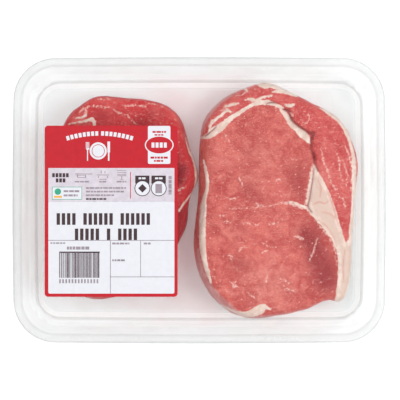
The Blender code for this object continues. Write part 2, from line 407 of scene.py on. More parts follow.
# The colour of painted shade on the smaller steak.
SMALL_PAINTED_SHADE = (0.230, 0.006, 0.014)
FAT_CREAM = (0.830, 0.700, 0.620)
FAT_PINK = (0.780, 0.500, 0.440)
VEIN = (0.620, 0.270, 0.220)
STREAK = (0.760, 0.380, 0.330)
SMALL_STREAK = (0.700, 0.200, 0.180)
SMALL_SIDE = (0.500, 0.070, 0.072)
FAT_WARM = (0.660, 0.490, 0.410)
# The cut side's colour, made lighter with painted light to offset the shade on the sides.
CUT_SIDE_AND_PAINTED_LIGHT = (0.860, 0.205, 0.185)
# The colour of painted shade in the crevices.
CREVICE_SHADE = (0.230, 0.022, 0.026)
SKIN = (0.500, 0.190, 0.180)
SKIN_PALE = (0.620, 0.330, 0.320)
# The colour of painted sheen and paler muscle.
PALE = (0.760, 0.300, 0.250)


def meat_finish(name, light, deep, dark, cap_light, cap_deep, fleck, side, gloss):
    """Raw beef: grainy muscle with bundled fibres, flecks of fat, cream seams and a moist sheen, with painted
    shade, painted sheen and painted light on the sides.
    """
    made, tree = new_tree(name)
    place = object_place(tree)
    broad = noise(tree, place, 22 * MM, 2.0)
    patches = noise(tree, place, 6 * MM, 4.0, 0.6, 0.6)
    grains = noise(tree, place, 1.1 * MM, 4.0, 0.7, 0.4)
    fine = noise(tree, place, 0.7 * MM, 3.0, 0.7)
    fibres = noise(tree, stretched(tree, place, (1.0, 3.6, 1.0), 14.0), 3.6 * MM, 3.0, 0.6, 1.4)
    wavy = noise(tree, place, 2.4 * MM, 2.0)
    warped = maths(tree, "MULTIPLY_ADD", wavy, 0.002, -0.001)
    bent = add_node(tree, "ShaderNodeVectorMath", {0: place, 1: warped}, operation="ADD").outputs["Vector"]
    bundles = cells(tree, bent, 1.7 * MM, "DISTANCE_TO_EDGE")
    between = ramp(tree, bundles, 0.0, 0.16, 1.0, 0.0)

    clouds = plus(tree, times(tree, broad, 0.32), times(tree, patches, 0.42))
    tone_share = plus(tree, clouds, times(tree, grains, 0.26))
    eye = mixed(tree, ramp(tree, tone_share, 0.385, 0.605), deep, light)
    cap = mixed(tree, ramp(tree, tone_share, 0.385, 0.605), cap_deep, cap_light)
    in_cap = ramp(tree, attribute(tree, "cap"), -0.8, 0.8)
    muscle = mixed(tree, in_cap, eye, cap)
    # Painted sheen and paler muscle, where each steak's listed spots lie.
    lifted = times(tree, attribute(tree, "pale"), ramp(tree, patches, 0.25, 0.75, 0.35, 1.0))
    muscle = mixed(tree, lifted, muscle, PALE)
    grain = times(tree, between, ramp(tree, patches, 0.4, 0.75, 0.04, 0.26))
    muscle = mixed(tree, grain, muscle, fleck)
    muscle = mixed(tree, ramp(tree, fibres, 0.55, 0.72, 0.0, 0.38), muscle, fleck)
    muscle = mixed(tree, ramp(tree, fibres, 0.42, 0.28, 0.0, 0.40), muscle, deep)
    # Painted shade: darker where each steak's listed spots lie.
    shadowed = times(tree, attribute(tree, "dark"), ramp(tree, patches, 0.2, 0.75, 0.7, 0.95))
    muscle = mixed(tree, shadowed, muscle, dark)

    speck_cells = cells(tree, bent, 3.1 * MM)
    some = ramp(tree, noise(tree, place, 4.5 * MM, 1.0), 0.46, 0.55)
    specks = times(tree, ramp(tree, speck_cells, 0.17, 0.09, 0.0, 0.85), some)
    flecked = noise(tree, stretched(tree, place, (1.0, 1.7, 1.0), 35.0), 2.6 * MM, 5.0, 0.7, 1.8)
    flecks = ramp(tree, maths(tree, "MULTIPLY_ADD", in_cap, 0.02, flecked), 0.60, 0.66, 0.0, 0.75)
    muscle = mixed(tree, maths(tree, "MAXIMUM", specks, flecks), muscle, STREAK)

    ragged = maths(tree, "MULTIPLY_ADD", noise(tree, place, 1.5 * MM, 4.0, 0.7), 4.2, -2.1)
    torn = maths(tree, "MULTIPLY_ADD", ragged, 1.9, attribute(tree, "streak"))
    streak = ramp(tree, torn, -0.5, 0.8)
    streak_tone = mixed(tree, ramp(tree, grains, 0.4, 0.6, 0.0, 0.6), STREAK, FAT_CREAM)
    muscle = mixed(tree, times(tree, streak, 0.78), muscle, streak_tone)
    fat_edge = plus(tree, attribute(tree, "fat"), ragged)
    fat_share = ramp(tree, fat_edge, -0.5, 0.5)
    fat_core = ramp(tree, fat_edge, -0.4, 0.5)
    fat_tone = mixed(tree, ramp(tree, patches, 0.3, 0.7), FAT_CREAM, FAT_WARM)
    fat_tone = mixed(tree, ramp(tree, fat_edge, 2.6, 5.0, 0.0, 0.8), fat_tone, FAT_WARM)
    fat_tone = mixed(tree, ramp(tree, fibres, 0.5, 0.72, 0.0, 0.5), fat_tone, FAT_PINK)
    fat_tone = mixed(tree, times(tree, attribute(tree, "vein"), 0.7), fat_tone, VEIN)
    fat = mixed(tree, fat_core, FAT_PINK, fat_tone)
    surface = mixed(tree, fat_share, muscle, fat)
    # The sides take their own tone: the cut side's colour, and on the larger steak painted light that lifts
    # their shade.
    side_tone = mixed(tree, ramp(tree, patches, 0.3, 0.7), side, deep)
    side_share = times(tree, attribute(tree, "side"), ramp(tree, fat_share, 0.0, 1.0, 0.85, 0.0))
    surface = mixed(tree, side_share, surface, side_tone)
    skin = ramp(tree, plus(tree, attribute(tree, "skin"), ragged), -1.2, 1.2, 0.0, 0.8)
    skin = times(tree, skin, ramp(tree, fat_share, 0.0, 1.0, 1.0, 0.2))
    surface = mixed(tree, skin, surface, mixed(tree, ramp(tree, patches, 0.35, 0.65), SKIN, SKIN_PALE))
    # Painted shade: the crevices are darkened.
    surface = mixed(tree, attribute(tree, "crevice"), surface, CREVICE_SHADE)

    height = plus(tree, times(tree, fine, 0.6), times(tree, between, 0.4))
    normal = bump(tree, height, 0.6, 0.3 * MM)
    normal = bump(tree, fibres, 0.4, 0.5 * MM, normal)
    normal = bump(tree, patches, 0.3, 0.8 * MM, normal)
    wet = ramp(tree, noise(tree, place, 3.0 * MM, 3.0), 0.3, 0.7, 0.34, 0.52)
    inputs = {
        "Base Color": surface, "Roughness": wet, "Specular IOR Level": gloss, "Normal": normal,
        "Subsurface Weight": 0.08, "Subsurface Radius": (1.0, 0.35, 0.25), "Subsurface Scale": 1.0 * MM,
        "Coat Weight": 0.06, "Coat Roughness": 0.22,
    }
    output(tree, principled(tree, inputs))
    return made


# Shapes of the tray and film

def rounded_outline(half_x, half_y, radius, bow):
    """Points anticlockwise round a rectangle with round corners and slightly bowed sides."""
    points = []
    for corner, (sign_x, sign_y) in enumerate(((1, 1), (-1, 1), (-1, -1), (1, -1))):
        centre = Vector((sign_x * (half_x - radius), sign_y * (half_y - radius)))
        for step in range(OUTLINE_POINTS_PER_CORNER + 1):
            angle = math.radians(90) * (corner + step / OUTLINE_POINTS_PER_CORNER)
            points.append(centre + radius * Vector((math.cos(angle), math.sin(angle))))
        along_x = corner % 2 == 0
        run = 2 * ((half_x if along_x else half_y) - radius)
        heading = Vector((-sign_x, 0)) if along_x else Vector((0, -sign_y))
        outward = Vector((0, sign_y)) if along_x else Vector((sign_x, 0))
        start = points[-1]
        for step in range(1, OUTLINE_POINTS_PER_SIDE):
            share = step / OUTLINE_POINTS_PER_SIDE
            points.append(start + heading * run * share + outward * bow * math.sin(math.pi * share))
    return points


def add_outlined_face(name, points, height):
    """One flat face of the given outline, started as a circle."""
    bpy.ops.mesh.primitive_circle_add(vertices=len(points), radius=0.1, fill_type="NGON")
    piece = named(name)
    for vertex, point in zip(piece.data.vertices, points):
        vertex.co = (point.x, point.y, height)
    return piece


# The tray's section from the edge of its lip to its base panel: how far each step goes in, how far it
# goes up, and how much the sheet narrows across the tray at that step.
TRAY_STEPS = (
    (0.10, 1.20, 1.0), (0.15, 0.70, 1.0), (0.35, 0.65, 1.0), (0.40, 0.35, 1.0), (0.50, 0.28, 1.0),
    (1.10, 0.02, 1.0), (1.70, 0.00, 1.0), (0.35, -0.08, 1.0), (0.35, -0.32, 1.0), (0.30, -0.70, 1.0),
    (0.20, -1.00, 1.0), (0.55, -6.00, 0.996), (0.60, -6.40, 0.996), (0.50, -6.00, 0.996),
    (0.25, -3.00, 0.998), (0.15, -1.40, 1.0), (0.10, -0.50, 1.0), (0.10, -0.50, 1.0), (0.12, -1.60, 0.999),
    (0.16, -2.20, 0.999), (0.22, -2.20, 0.999), (0.45, -1.30, 1.0), (0.65, -0.95, 1.0), (0.85, -0.65, 1.0),
    (1.10, -0.40, 1.0), (1.30, -0.15, 1.0), (2.40, 0.00, 1.0), (0.35, 0.10, 1.0), (0.45, 0.60, 1.0),
    (0.50, 0.65, 1.0), (0.45, 0.20, 1.0), (0.50, 0.05, 1.0), (0.70, 0.00, 1.0), (1.20, 0.00, 1.0),
)
LUG_ANGLES = (33.75, 56.25)
LUG_HALF_WIDTH = 2.3 * MM
LUG_DEPTH = 2.0 * MM
LUG_TOP = 12.6 * MM
LUG_ROUNDING = 0.7 * MM
LUG_REACH_FROM = 13.5 * MM
LUG_FOOT = 1.6 * MM
LIP_SHADE = (-1.3 * MM, -0.7 * MM)


def push_in_lugs(piece, half_x, half_y):
    """Presses two upright half-round lugs into each corner of the wall."""
    points = read_points(piece)
    for sign_x, sign_y in ((1, 1), (-1, 1), (-1, -1), (1, -1)):
        centre = np.array((sign_x * (half_x - CORNER_RADIUS), sign_y * (half_y - CORNER_RADIUS)))
        away = points[:, :2] - centre
        reach = np.hypot(away[:, 0], away[:, 1]) + TINY
        outside = (away[:, 0] * sign_x > 0) & (away[:, 1] * sign_y > 0) & (reach > LUG_REACH_FROM)
        angle = np.degrees(np.arctan2(np.abs(away[:, 1]), np.abs(away[:, 0])))
        for lug_angle in LUG_ANGLES:
            along = np.radians(angle - lug_angle) * reach
            round_off = np.sqrt(np.clip(1.0 - (along / LUG_HALF_WIDTH) ** 2, 0.0, 1.0))
            below_top = np.clip((LUG_TOP - points[:, 2]) / LUG_ROUNDING, 0.0, 1.0)
            above_foot = np.clip((points[:, 2] - SHEET_THICKNESS) / LUG_FOOT, 0.0, 1.0)
            push = outside * round_off * below_top * above_foot * LUG_DEPTH
            points[:, 0] -= push * away[:, 0] / reach
            points[:, 1] -= push * away[:, 1] / reach
    write_points(piece, points)


def lip_share(points, half_x, half_y):
    """1 on the turned-down lip, which is thicker to look through, and 0 inside it."""
    past_x = np.abs(points[:, 0]) - (half_x - CORNER_RADIUS)
    past_y = np.abs(points[:, 1]) - (half_y - CORNER_RADIUS)
    outside = np.hypot(np.maximum(past_x, 0.0), np.maximum(past_y, 0.0)) - CORNER_RADIUS
    inside = np.minimum(np.maximum(past_x, past_y), 0.0)
    return soft_step(outside + inside, *LIP_SHADE)


def make_tray():
    """The clear tray, stepped down from one face by insets and then given its thickness."""
    low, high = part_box("tray")
    half_x, half_y = high.x - SIDE_BOW, high.y - SIDE_BOW
    outline = rounded_outline(half_x, half_y, CORNER_RADIUS, SIDE_BOW)
    piece = add_outlined_face("clear_tray", outline, high.z - LIP_DROP)
    start_edit(piece)
    for inward, upward, narrowing in TRAY_STEPS:
        bpy.ops.mesh.inset(thickness=inward * MM, depth=upward * MM)
        bpy.ops.transform.resize(value=(1.0, narrowing, 1.0), center_override=(0.0, 0.0, 0.0))
    end_edit()
    push_in_lugs(piece, half_x, half_y)
    apply_modifier(piece, "SOLIDIFY", thickness=SHEET_THICKNESS, offset=-1.0, use_even_offset=True)
    write_attribute(piece, "lip", lip_share(read_points(piece), half_x, half_y))
    smooth(piece, 60)
    piece.data.materials.append(tray_finish())
    finish_piece(piece, "tray")


# The film's slack: broad waves that die out at the sealed edge, and a faint fold under the label.
FILM_THICKNESS = 0.12 * MM
FILM_SEAL_WIDTH = 5 * MM
FILM_EASE = 22 * MM
FILM_WAVE = 0.22 * MM
FILM_SAG = 0.30 * MM
FILM_CREASE = 0.14 * MM
CREASE_X = -75.6 * MM
CREASE_WIDTH = 0.9 * MM
CREASE_CUTS = 7
FILM_GRID = 5 * MM


def film_rise(points):
    """How far the film, and what is stuck on it, lies above its flat level."""
    low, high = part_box("film_lid")
    x, y = points[:, 0], points[:, 1]
    edge = np.minimum(high.x - np.abs(x), high.y - np.abs(y)) - FILM_SEAL_WIDTH
    free = soft_step(edge, 0.0, FILM_EASE)
    waves = np.sin(x / (23 * MM) + 0.7) * np.sin(y / (31 * MM) - 0.4)
    waves += 0.5 * np.sin((x + 1.7 * y) / (17 * MM)) + 0.3 * np.sin((2.2 * x - y) / (13 * MM) + 1.1)
    crease = np.exp(-(((x - CREASE_X) / CREASE_WIDTH) ** 2)) * FILM_CREASE
    return free * (FILM_WAVE * waves / 1.8 - FILM_SAG + crease)


def lay_on_film(piece):
    """Cuts a flat piece by a grid that all such pieces share, and bends it to the film's slack."""
    points = read_points(piece)
    folds = [CREASE_X + CREASE_WIDTH * k / 3 for k in range(-CREASE_CUTS, CREASE_CUTS + 1)]
    start_edit(piece)
    for axis in (0, 1):
        low, high = points[:, axis].min(), points[:, axis].max()
        first, last = math.ceil(low / FILM_GRID), math.floor(high / FILM_GRID)
        cuts = [FILM_GRID * i for i in range(first, last + 1)]
        if axis == 0:
            cuts = [place for place in cuts if abs(place - CREASE_X) > 3 * CREASE_WIDTH]
            cuts += [place for place in folds if low < place < high]
        for place in cuts:
            cut_across(piece, axis, place)
    end_edit()
    points = read_points(piece)
    points[:, 2] += film_rise(points)
    write_points(piece, points)


def make_film():
    low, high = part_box("film_lid")
    outline = rounded_outline(high.x - SIDE_BOW, high.y - SIDE_BOW, CORNER_RADIUS, SIDE_BOW)
    piece = add_outlined_face("lid_film", outline, low.z)
    start_edit(piece)
    thicken(FILM_THICKNESS)
    end_edit()
    lay_on_film(piece)
    smooth(piece)
    piece.data.materials.append(film_finish())
    finish_piece(piece, "film_lid")


# Steaks

# What counts as far outside every band, in pixels.
FAR_OUTSIDE = -30.0


def curve_through(knots, steps=5, closed=False):
    """Points on a smooth curve through rows of numbers, all of which are smoothed alike."""
    known = np.array(knots, dtype=float)
    count = len(known)
    rows = []
    for i in range(count if closed else count - 1):
        picks = [(i + k) % count if closed else min(max(i + k, 0), count - 1) for k in (-1, 0, 1, 2)]
        before, start, end, after = known[picks]
        for step in range(steps):
            t = step / steps
            slope = (end - before) * t
            bend = (2 * before - 5 * start + 4 * end - after) * t**2
            twist = (3 * start - before - 3 * end + after) * t**3
            rows.append(0.5 * (2 * start + slope + bend + twist))
    if not closed:
        rows.append(known[-1])
    return np.array(rows)


def along_and_off(places, x0, y0, x1, y1):
    """How far along a straight run each place lies, from 0 to 1, and how far off it in pixels."""
    start, run = np.array((x0, y0)), np.array((x1 - x0, y1 - y0))
    share = np.clip(((places - start) @ run) / max(run @ run, TINY), 0.0, 1.0)
    off = places - start - share[:, None] * run
    return share, np.hypot(off[:, 0], off[:, 1])


def band(places, knots):
    """How far inside a band each place lies, in pixels, and negative outside.

    A knot is x, y and the band's half-width there.
    """
    inside = np.full(len(places), FAR_OUTSIDE)
    rows = curve_through(knots)
    for (x0, y0, w0), (x1, y1, w1) in zip(rows, rows[1:]):
        share, off = along_and_off(places, x0, y0, x1, y1)
        inside = np.maximum(inside, w0 + (w1 - w0) * share - off)
    return inside


def bands(places, several):
    inside = np.full(len(places), FAR_OUTSIDE)
    for knots in several:
        inside = np.maximum(inside, band(places, knots))
    return inside


def region(places, knots, steps=4):
    """How far inside a closed outline each place lies, in pixels; outside it is negative."""
    rows = curve_through(knots, steps, closed=True)
    nearest = np.full(len(places), 1e9)
    crossings = np.zeros(len(places), dtype=int)
    x, y = places[:, 0], places[:, 1]
    for (x0, y0), (x1, y1) in zip(rows, np.roll(rows, -1, axis=0)):
        nearest = np.minimum(nearest, along_and_off(places, x0, y0, x1, y1)[1])
        between = (y0 > y) != (y1 > y)
        at = x0 + (y - y0) * (x1 - x0) / (y1 - y0 if y1 != y0 else TINY)
        crossings += between & (x < at)
    return np.where(crossings % 2 == 1, nearest, -nearest)


def blobs(places, spots):
    """Soft round spots. A spot is x, y, radius and strength."""
    total = np.zeros(len(places))
    for x, y, radius, strength in spots:
        total += strength * np.exp(-(((places[:, 0] - x) ** 2 + (places[:, 1] - y) ** 2) / radius**2))
    return total


# The larger steak as the photograph shows it, in pixels.
RIGHT_FAT_BANDS = (
    ((199, 138, 0.6), (207, 136.5, 2.6), (214, 131.5, 4.2), (221, 127, 3.8), (229, 119.5, 2.6),
     (240, 112.5, 1.9), (249, 106.5, 1.7), (258, 103, 2.3), (267, 102.5, 2.5), (275, 104.5, 1.9),
     (282, 108, 1.9)),
    ((281, 109, 1.6), (286.5, 116, 2.6), (291.5, 123.5, 3.0), (297.5, 129.5, 3.2), (302.5, 134, 4.2),
     (307, 138.5, 3.2), (310, 143, 0.8)),
    ((203.5, 160, 0.9), (206.5, 174, 1.7), (207.5, 186, 1.7), (204.5, 199, 2.2), (203, 209, 3.3),
     (202.4, 230, 3.4), (202.6, 246, 3.2), (204.5, 260, 2.6), (208, 273, 2.0), (211, 283, 0.9)),
    ((221, 305, 0.8), (231, 310, 1.2), (240, 313.5, 2.0), (250, 314, 3.4), (259, 310, 4.8), (264, 307, 3.0),
     (270, 309, 0.9)),
    ((258, 84, 1.6), (265, 86, 2.8), (271, 85, 2.8), (279, 87.5, 3.2), (286, 91.5, 2.6), (297, 96, 1.0)),
    ((272, 92, 0.8), (281, 91.5, 2.0), (289, 93, 1.0)),
    ((233, 93, 0.5), (238, 89.5, 1.2), (244, 88, 1.4), (247, 91, 1.0)),
    ((209, 131, 0.7), (211, 124, 1.5), (216, 119, 1.3), (221, 115.5, 1.5), (227, 110.5, 1.4),
     (231, 112, 0.7)),
    ((224, 107, 0.7), (230, 105.5, 1.4), (238, 103.5, 0.8)),
    ((246, 100, 0.7), (251, 98.8, 1.3), (256, 100.5, 1.2), (263, 97.5, 1.1), (272, 95.5, 0.6)),
    ((285, 104.5, 0.7), (289.5, 106, 1.9), (294.5, 104.5, 0.7)),
    ((320, 108, 0.6), (332, 115.5, 2.0), (340.5, 122, 2.3), (348.5, 138, 1.5), (353, 155, 1.8),
     (354, 172, 2.3), (354, 195, 2.2), (353, 215, 2.3), (352, 232, 3.0)),
    ((312.5, 165, 0.6), (310.8, 178, 1.0), (308.8, 190, 1.1), (307.3, 203, 1.2)),
    ((288, 201.5, 0.6), (295, 203, 1.1), (302, 206, 1.2), (307.5, 208, 1.4), (313, 215.5, 1.0),
     (320, 224, 0.9)),
)
RIGHT_FAT_WEDGE = (
    (314.8, 164), (319, 173), (328, 189), (333, 202), (337, 214), (342, 231), (346, 243), (349, 236),
    (352, 232), (356, 240), (355, 262), (352, 284), (345, 303), (335, 302), (336.5, 292), (338, 269),
    (337, 253), (331, 239), (320, 224), (309, 209), (307.5, 200), (310, 186), (312.5, 172),
)
RIGHT_STREAKS = (
    ((234, 93, 0.5), (238, 89.5, 0.7), (244, 88.5, 0.8), (246, 91, 0.6), (242, 94.5, 0.7),
     (236, 95.5, 0.5)),
    ((223.5, 106.5, 0.5), (230, 104.5, 0.9), (238, 103, 0.5)),
    ((221, 111, 0.7), (226, 109.5, 1.1), (231, 112.5, 0.5)),
    ((207.5, 128, 0.5), (210.5, 122.5, 1.0), (215, 118, 0.5)),
    ((213, 121.5, 0.5), (217, 119, 0.8), (222, 116.5, 0.4)),
    ((244.5, 99.5, 0.4), (249, 98.5, 0.8), (253, 101, 0.8), (257, 99.5, 0.6), (263, 97.5, 0.8),
     (272, 96, 0.5)),
    ((272, 92.5, 0.5), (280, 92, 0.9), (288, 92.5, 0.4)),
    ((284, 104.5, 0.6), (288.5, 106.5, 1.5), (293.5, 105, 0.5)),
    ((283, 110.5, 0.6), (290, 112.5, 1.2), (293, 116, 0.5)),
    ((308, 114, 0.4), (309.5, 118, 0.8), (306.5, 122.5, 0.6), (301, 125, 0.4)),
    ((228, 208.5, 0.0), (240, 208.5, 0.3), (256, 207.5, 0.4), (268, 206, 0.3), (279, 204, 0.5)),
    ((279, 203.5, 0.8), (290, 203.5, 1.5), (299, 206.5, 1.7), (306, 207.5, 1.9)),
    ((306, 206.5, 1.3), (313, 216, 1.1), (321, 227, 0.8), (330, 238, 0.8), (335, 250, 0.6),
     (336.5, 266, 0.4)),
    ((256.5, 203, 0.5), (258.5, 206, 1.2), (262, 205.5, 0.6)),
    ((311.5, 166, 0.5), (309.5, 180, 0.8), (307, 193, 0.9), (306, 204, 1.0)),
    ((345, 146, 0.4), (350, 158, 0.9), (352, 172, 0.8), (351, 190, 0.5)),
    ((343, 160, 0.3), (347, 174, 0.7), (346, 186, 0.4)),
    ((321, 150, 0.4), (324, 163, 0.9), (329, 175, 0.6)),
    ((294, 236, 0.5), (299, 237.5, 1.5), (303.5, 239, 0.5)),
    ((318, 236, 0.4), (315, 246, 0.6), (313, 253, 0.7), (309, 261, 0.5)),
    ((238, 252, 0.4), (241, 248.5, 0.9), (244, 247, 0.4)),
    ((229, 255, 0.5), (231.5, 257, 1.0), (231, 262, 0.5)),
    ((262, 253, 0.4), (265, 251, 0.8), (267, 250.5, 0.3)),
    ((232, 281, 0.4), (234, 285, 1.2), (237.5, 287, 0.5)),
    ((232, 289, 0.4), (233.5, 285, 0.8), (236, 281.5, 0.4)),
    ((278, 277, 0.4), (284, 280.5, 0.6), (290, 284, 0.4)),
    ((253, 222.5, 0.4), (256, 224.5, 0.8), (259, 224, 0.3)),
    ((225, 134, 0.3), (227, 138, 0.6), (229, 142, 0.3)),
    ((347, 137, 0.4), (351, 146, 0.8), (353, 156, 0.5)),
    ((336, 150, 0.3), (339, 160, 0.6), (340, 172, 0.5), (343, 184, 0.3)),
    ((328, 172, 0.4), (331, 182, 0.9), (336, 190, 0.5)),
    ((337, 193, 0.4), (342, 199, 0.9), (346, 208, 0.5)),
    ((224, 196, 0.3), (230, 199, 0.6), (238, 197, 0.3)),
    ((217, 214, 0.3), (221, 216, 0.5), (226, 214.5, 0.3)),
    ((223, 222, 0.3), (227, 221, 0.7), (230, 223, 0.3)),
    ((243, 224, 0.3), (247, 223, 0.6), (251, 224, 0.3)),
    ((268, 225, 0.3), (273, 224, 0.5), (279, 222, 0.3)),
    ((276, 181, 0.3), (279, 179, 0.7), (281, 181.5, 0.3)),
    ((239, 178, 0.3), (242, 184, 0.6), (243, 190, 0.3)),
    ((262, 243, 0.3), (268, 246, 0.5), (276, 247, 0.3)),
    ((281, 284, 0.3), (288, 289, 0.5), (295, 291, 0.3)),
    ((245, 291, 0.3), (252, 296, 0.6), (258, 299, 0.3)),
    ((266, 268, 0.3), (267, 276, 0.5), (266, 284, 0.3)),
)
RIGHT_VEINS = (
    ((314, 204, 0.3), (319, 202, 0.7), (325, 203.5, 0.5), (328, 201, 0.3)),
    ((327, 190, 0.3), (331, 200, 0.6), (335, 213, 0.6), (339, 227, 0.3)),
    ((318, 220, 0.3), (326, 226, 0.5), (333, 236, 0.5), (337, 246, 0.3)),
    ((318, 180, 0.3), (321, 188, 0.6), (320, 197, 0.3)),
    ((322, 212, 0.3), (330, 214, 0.5), (336, 219, 0.3)),
    ((345, 250, 0.3), (343, 266, 0.4), (344, 282, 0.3)),
)
RIGHT_CREVICES = (
    ((288, 109, 0.6), (291.5, 119, 1.0), (299.5, 126.5, 0.9), (309, 132.5, 1.0), (313, 133.5, 1.8),
     (311.5, 140, 1.0), (311.5, 149, 0.9), (314, 156, 1.1), (315, 163, 0.8), (318, 171, 0.4)),
    ((314, 169, 0.2), (312, 184, 0.5), (309.5, 199, 0.5), (308, 206.5, 0.6), (312, 212.5, 0.3)),
    ((199.5, 137, 0.7), (205, 136, 0.7), (211, 131.5, 0.5), (216, 127, 0.3)),
    ((266, 104, 0.3), (271, 102.5, 0.7), (277, 103.3, 0.3)),
    ((283, 109, 0.4), (287.5, 110.5, 1.2), (291, 112, 0.4)),
)
# The cap muscle, which lies outside the seam.
RIGHT_CAP = (
    (195, 142), (207, 136), (228, 122), (249, 107), (270, 103), (284, 110), (294, 126), (311, 135),
    (314, 160), (328, 189), (337, 214), (347, 243), (366, 240), (366, 150), (350, 110), (270, 70),
    (210, 85), (190, 120),
)
# Painted shade: spots where hollows, mostly by the seam and the fat wedge, fall dark.
RIGHT_PAINTED_SHADE = (
    (248, 189, 9, 0.3), (308, 240, 9, 1.0), (304, 232, 6, 0.6), (313, 257, 7, 0.9), (327, 281, 14, 1.0),
    (322, 262, 14, 0.8), (318, 246, 8, 0.5), (298, 172, 14, 0.45), (300, 186, 12, 0.35),
    (319, 231, 9, 0.45), (311, 222, 8, 0.3), (304, 196, 8, 0.25), (236, 262, 8, 0.5), (216, 230, 5, 0.2),
    (246, 268, 7, 0.3), (256, 196, 9, 0.25),
)
# Where a painted sheen, or the paler cut, makes the muscle paler.
RIGHT_SHEEN_AND_PALE = (
    (256, 158, 22, 0.30), (270, 285, 26, 0.48), (262, 196, 20, 0.18), (236, 232, 14, 0.22),
    (290, 226, 18, 0.15), (322, 180, 12, 0.35), (222, 158, 12, 0.2),
)

# The cut's silvery skin, which shows where the side leans out.
RIGHT_SKIN = (
    ((198.5, 142, 2.0), (202, 123, 3.4), (211, 108.5, 3.6), (224, 97.5, 2.8), (238, 90.5, 1.4)),
    ((198, 250, 1.6), (200, 266, 2.6), (205, 281, 4.0), (214, 295, 5.0), (226, 306, 4.6), (240, 315.5, 3.0),
     (262, 317.5, 1.8), (290, 314.5, 1.6), (300, 311.5, 0.8)),
)

# The smaller steak, mostly under the label.
LEFT_FAT_BANDS = (
    ((68, 124.5, 0.2), (76, 122.5, 0.9), (84, 121.5, 1.3), (91, 119.5, 1.9), (94, 122, 1.9),
     (94, 126, 1.4)),
    ((76, 118.5, 0.4), (80, 117.5, 1.0), (86, 115.5, 1.0)),
    ((185.5, 138, 0.4), (187.6, 146, 0.8), (189.4, 152, 1.0), (192.6, 158, 1.1), (195.0, 166, 1.2),
     (196.2, 174, 1.6), (195.8, 183, 1.2), (192.8, 191.5, 0.8), (187.6, 198.6, 0.9), (183, 204.6, 1.1),
     (179, 211, 0.9)),
)
LEFT_STREAKS = (
    ((79, 112, 0.5), (86, 107.5, 0.9), (96, 106, 0.8), (110, 107.5, 0.4)),
    ((66, 117, 0.5), (72, 112, 0.8), (80, 107, 0.9), (88, 101, 0.6)),
    ((84, 107, 0.5), (86, 113, 1.2), (83, 118, 0.6)),
    ((112, 109, 0.4), (118, 112.5, 0.9), (126, 115, 0.9), (131, 120, 0.7), (136, 124.5, 0.5)),
    ((122, 106, 0.3), (134, 105.3, 0.9), (146, 106.5, 0.6)),
    ((146, 104, 0.4), (155, 104, 0.7), (166, 107.5, 0.9), (174, 112, 0.6)),
    ((178, 190, 0.6), (182, 188.5, 0.8), (186, 186.5, 0.5)),
    ((97, 99, 0.3), (105, 99.5, 0.6), (113, 98.5, 0.3)),
)
LEFT_SKIN = (
    ((86, 296, 1.0), (92, 300, 1.6), (100, 300, 1.0)),
)
LEFT_CAP = (
    (55, 130), (66, 120), (84, 108), (110, 108), (135, 122), (160, 126), (190, 135), (200, 110), (160, 90),
    (90, 85), (50, 110),
)
# Painted shade: the dark flank by the gap between the steaks, and the label's shadow near the top.
LEFT_PAINTED_SHADE = (
    (183, 170, 7, 0.9), (181, 181, 5, 0.8), (184, 212, 8, 1.0), (182, 228, 12, 1.0), (180, 243, 9, 1.0),
    (140, 122, 9, 0.45), (100, 117, 7, 0.35), (72, 106, 8, 0.15), (152, 114, 7, 0.3), (120, 299, 10, 0.2),
)
# Painted sheen and paler muscle on the smaller steak, mostly along its lit edge.
LEFT_SHEEN_AND_PALE = (
    (110, 103, 14, 0.2), (158, 108, 10, 0.2), (176, 108, 7, 0.45), (183, 120, 6, 0.6), (187, 135, 5, 0.6),
    (80, 120, 8, 0.5), (92, 300, 10, 0.3),
)

# Where a steak's flank stands out further: photograph x and y, reach both ways, how far out to the right,
# and the share of that which reaches down to its foot.
RIGHT_SWELLS = ((355, 165, 12, 20, 1.5 * MM, 0.0),)
LEFT_SWELLS = ((195, 183, 11, 20, 2.3 * MM, 0.0), (187, 223, 12, 17, 1.9 * MM, 1.0))

# How fine each steak's mesh is, and the lumps on it: name, size and strength.
RIGHT_VOXEL = 0.68 * MM
LEFT_VOXEL = 0.75 * MM
MEAT_LUMPS = (("lumps", 7.0 * MM, 0.9 * MM), ("fibres", 1.9 * MM, 0.34 * MM))
MEAT_FULLNESS = 0.4 * MM
UPPER_FROM = 4 * MM
UPPER_TO = 12 * MM
FAT_RISE = 0.30 * MM
CREVICE_DROP = 1.2 * MM
STREAK_RISE = 0.10 * MM

# How much the surface faces up where it starts to count as top, and where it counts as top in full.
TOP_FACING = (0.25, 0.75)
SIDE_FACING = (0.15, 0.75)
# How strongly painted shade darkens the crevices.
CREVICE_SHADE_SHARE = 0.86


def upper_of(points):
    """From 0 low on a steak to 1 at its upper half."""
    low = points[:, 2].min()
    return soft_step(points[:, 2], low + UPPER_FROM, low + UPPER_TO)


